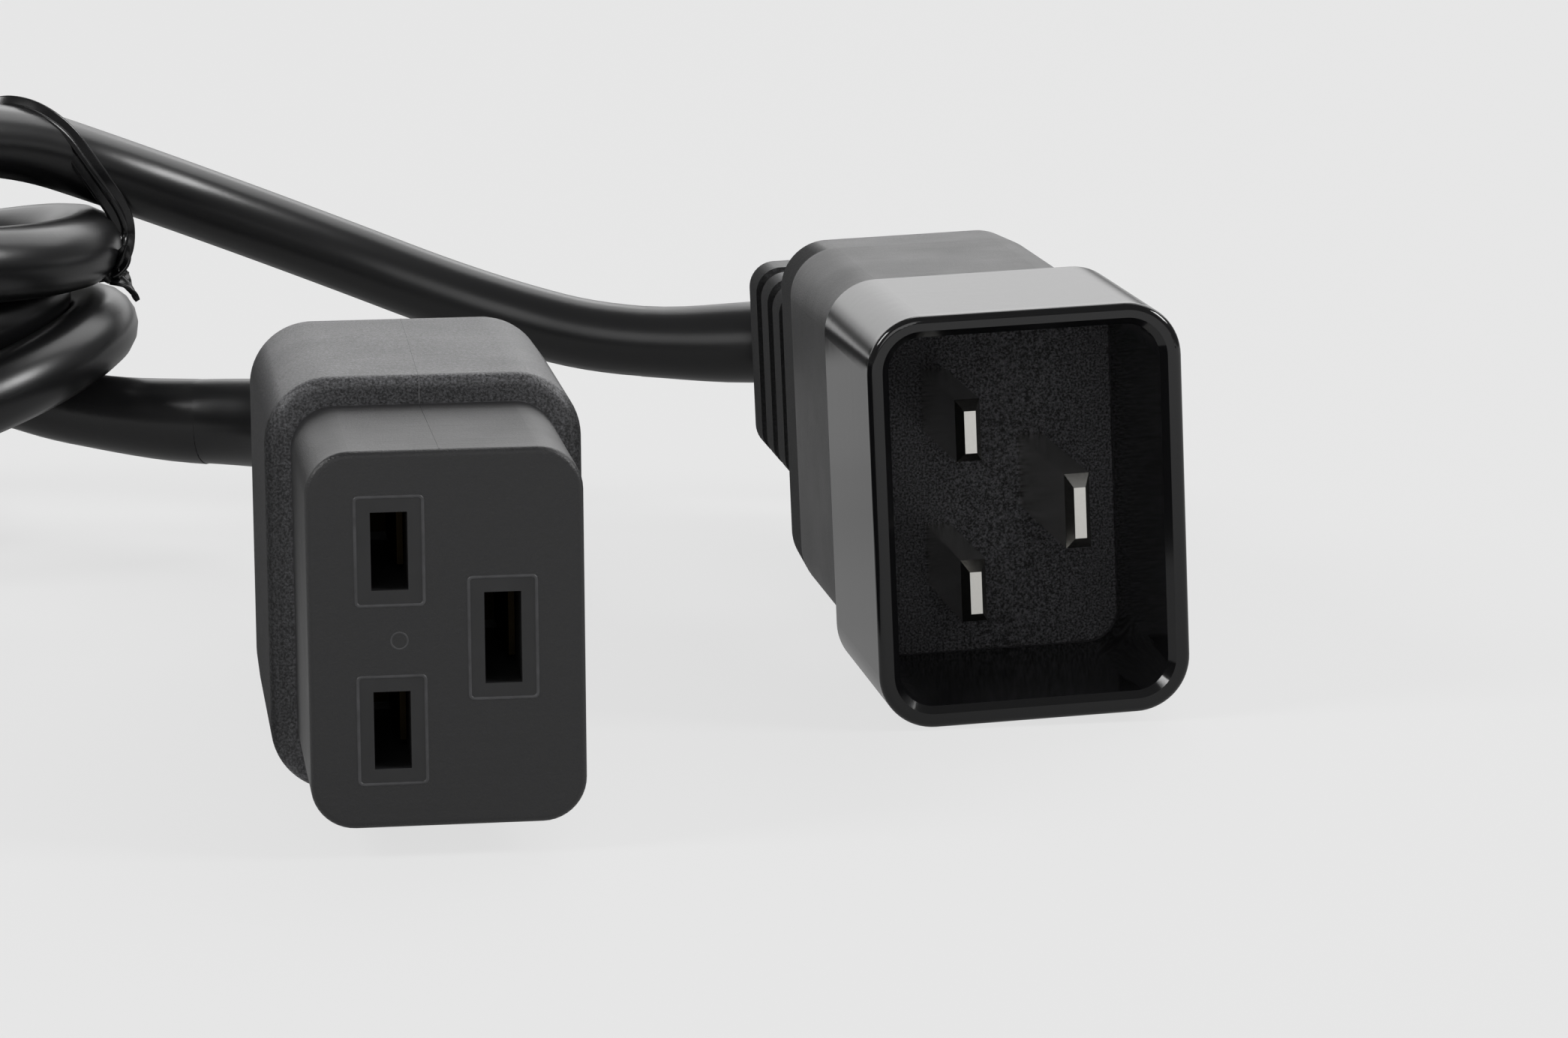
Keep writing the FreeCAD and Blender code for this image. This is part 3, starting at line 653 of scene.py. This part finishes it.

# The C20 plug's shroud: hard black polyamide, drawn from a polished steel mould. The
# rim and the inner walls shine, the outer walls carry faint draw lines, and the floor
# of the pin cavity has a coarse spark grain, whose lighter flecks are painted glints.
RIM_DEPTH = 0.0008
FLOOR_DEPTH = 0.0194
FLOOR_FADE = 0.0002
WALL_DEPTH = 0.0014   # what lies nearer the outside than this is an outer wall
WALL_FADE = 0.0002
CORNER_CUT = 0.0043   # between the outer and the inner wall's round corners
CORNER_FADE = 0.0001
SHROUD_BLACK = "#0c0c0d"
# The fleck colour is painted glints of the floor's grain.
SHROUD_GLINT_FLECK = "#747478"
INNER_ROUGHNESS = 0.11
OUTER_ROUGHNESS = 0.17
FLOOR_ROUGHNESS = 0.75
low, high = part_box("c20_shroud")
shell, tree, shader = material("polished_polyamide_shroud_painted_glints", SHROUD_BLACK, 0.12)
place = object_place(tree)
axes = add_node(tree, "ShaderNodeSeparateXYZ", {0: place}).outputs
half_width = (high[0] - low[0]) / 2
half_height = (high[2] - low[2]) / 2
across = off_middle(tree, axes["X"], (low[0] + high[0]) / 2)
upward = off_middle(tree, axes["Z"], (low[2] + high[2]) / 2)
sides = [ramp(tree, off, half - WALL_DEPTH - WALL_FADE, half - WALL_DEPTH)
         for off, half in ((across, half_width), (upward, half_height))]
reach = half_width + half_height - CORNER_CUT
corner = ramp(tree, calculate(tree, "ADD", across, upward),
              reach - CORNER_FADE, reach + CORNER_FADE)
outer = calculate(tree, "MAXIMUM", calculate(tree, "MAXIMUM", *sides), corner)
behind = ramp(tree, axes["Y"], low[1] + RIM_DEPTH, low[1] + 2 * RIM_DEPTH)
outer = calculate(tree, "MULTIPLY", outer, behind)
deep = ramp(tree, axes["Y"], low[1] + FLOOR_DEPTH - FLOOR_FADE, low[1] + FLOOR_DEPTH)
floor = calculate(tree, "MULTIPLY", deep, calculate(tree, "SUBTRACT", 1.0, outer))

# The floor's lighter flecks are painted glints of its spark grain.
spark = noise(tree, place, scale=5600.0, detail=3.0, roughness=0.7)
glint_fleck = calculate(tree, "MULTIPLY", ramp(tree, spark, start=0.4, stop=0.72), floor)
drawn = noise(tree, stretched(tree, place, (700, 700, 25)), scale=1.0, detail=2.0)
lines = bump(tree, calculate(tree, "MULTIPLY", drawn, outer), strength=0.12,
             depth=0.00006)
walls = blend(tree, outer, INNER_ROUGHNESS, OUTER_ROUGHNESS)
feed(tree, shader, {
    "Base Color": blend_colour(tree, glint_fleck, colour(SHROUD_BLACK), colour(SHROUD_GLINT_FLECK)),
    "Roughness": blend(tree, floor, walls, FLOOR_ROUGHNESS),
    "Normal": bump(tree, calculate(tree, "MULTIPLY", spark, floor), strength=0.8,
                   depth=0.00015, over=lines)})
finish("c20_shroud", shell)

# The C20 plug's pins: solid brass blades, bright nickel plated, with fine lines left
# along them by drawing.
nickel, tree, shader = material("bright_nickel_plate", "#e8e6e1", 0.2, Metallic=1.0)
place = stretched(tree, object_place(tree), (4000, 60, 4000))
drawn = noise(tree, place, scale=1.0, detail=2.0)
feed(tree, shader, {
    "Roughness": ramp(tree, drawn, low=0.16, high=0.3),
    "Normal": bump(tree, drawn, strength=0.15, depth=0.00002)})
for node in ("c20_line_pin", "c20_neutral_pin", "c20_earth_pin"):
    finish(node, nickel)

# The tie: a flat plastic strip with a wire along its middle, passed round the plug's
# cord and the loops' ends and closed by twisting its two ends together.
TIE_WIDTH = 0.0024
TIE_THICK = 0.00045
TIE_WIRE = 0.0009
EDGE_SHARE = 0.45  # how round the strip's edges are, next to its thickness
STRAP = [(-22.3, 89.0, 25.5), (-20.9, 91.5, 26.4), (-20.3, 93.6, 28.2),
         (-20.8, 91.8, 30.6), (-22.3, 89.6, 33.2), (-24.0, 89.0, 35.8),
         (-25.5, 88.7, 38.2), (-27.6, 88.5, 40.0), (-29.6, 88.6, 40.9),
         (-31.8, 89.2, 41.0), (-33.6, 90.6, 39.6), (-34.8, 91.8, 37.0),
         (-35.0, 93.0, 33.0), (-32.6, 93.8, 28.2), (-27.6, 91.6, 25.4),
         (-23.4, 89.2, 25.3)]
TWIST = [(-23.0, 89.2, 25.5), (-21.8, 88.2, 25.4), (-20.6, 87.5, 25.2)]
TAIL_UP = [(-21.4, 87.9, 25.5), (-20.7, 87.3, 26.5), (-20.3, 87.1, 28.0)]
TAIL_DOWN = [(-21.2, 87.7, 25.0), (-20.1, 87.1, 24.2), (-19.4, 86.8, 22.8)]
tie_tree, given, ends = geometry_tree("twist_tie_along_path",
                                      ["Width", "Thickness", "Wire", "Lean", "Turns",
                                       "End Share"])
along = add_node(tie_tree, "GeometryNodeSplineParameter").outputs["Factor"]
turned = calculate(tie_tree, "MULTIPLY", along, given["Turns"])
turned = calculate(tie_tree, "ADD", turned, given["Lean"])
turned = calculate(tie_tree, "MULTIPLY", turned, 2 * math.pi)
tilted = add_node(tie_tree, "GeometryNodeSetCurveTilt",
                  {"Curve": given["Geometry"], "Tilt": turned})
narrow = ramp(tie_tree, along, start=0.5, low=1.0, high=given["End Share"])
wings = add_node(tie_tree, "GeometryNodeCurvePrimitiveQuadrilateral",
                 {"Width": given["Width"], "Height": given["Thickness"]})
edge = calculate(tie_tree, "MULTIPLY", given["Thickness"], EDGE_SHARE)
wings = add_node(tie_tree, "GeometryNodeFilletCurve",
                 {"Curve": wings.outputs[0], "Radius": edge, "Count": 3}, mode="POLY")
half_wire = calculate(tie_tree, "MULTIPLY", given["Wire"], 0.5)
wire = add_node(tie_tree, "GeometryNodeCurvePrimitiveCircle",
                {"Resolution": 16, "Radius": half_wire})
both = add_node(tie_tree, "GeometryNodeJoinGeometry", {"Geometry": wings.outputs[0]})
feed(tie_tree, both, {"Geometry": wire.outputs["Curve"]})
close_tree(tie_tree, given, ends, tilted.outputs[0], both.outputs[0], narrow)

coat, tree, shader = material("glossy_vinyl_tie_coat", "#0e0e0f", 0.22)
creased = noise(tree, object_place(tree), scale=700.0, detail=2.0)
feed(tree, shader, {
    "Roughness": ramp(tree, creased, low=0.16, high=0.34),
    "Normal": bump(tree, creased, strength=0.2, depth=0.00008)})


def tie_mesh(name, points, lean, turns, end_share):
    """Stretch of the tie along points, with its twist in turns."""
    sizes = {"Width": TIE_WIDTH, "Thickness": TIE_THICK, "Wire": TIE_WIRE,
             "Lean": lean, "Turns": turns, "End Share": end_share}
    return along_path(name, tie_tree, [metres(point) for point in points], coat, sizes)


tie_parts = [tie_mesh("tie_strap", STRAP, lean=0.15, turns=0.0, end_share=1.0),
             tie_mesh("tie_twist", TWIST, lean=0.0, turns=1.5, end_share=0.8),
             tie_mesh("tie_tail_up", TAIL_UP, lean=0.1, turns=0.3, end_share=0.25),
             tie_mesh("tie_tail_down", TAIL_DOWN, lean=0.1, turns=-0.3, end_share=0.25)]
joined = bmesh.new()
for part in tie_parts:
    joined.from_mesh(part)
tie_shape = bpy.data.meshes.new("twist_tie")
joined.to_mesh(tie_shape)
joined.free()
tie_shape.materials.append(coat)
tie_shape.polygons.foreach_set("material_index", [0] * len(tie_shape.polygons))
tie = add("twist_tie", tie_shape, "cord_tie")

# Everything on the cord exists now: the plug, both strain reliefs and the tie, which
# are listed here. It comes out of the C19 connector's strain relief.
on_cord = [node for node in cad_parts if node.startswith("c20_")]
on_cord += ["c19_strain_relief", "c19_relief_tip", "c20_relief_tip", "twist_tie"]
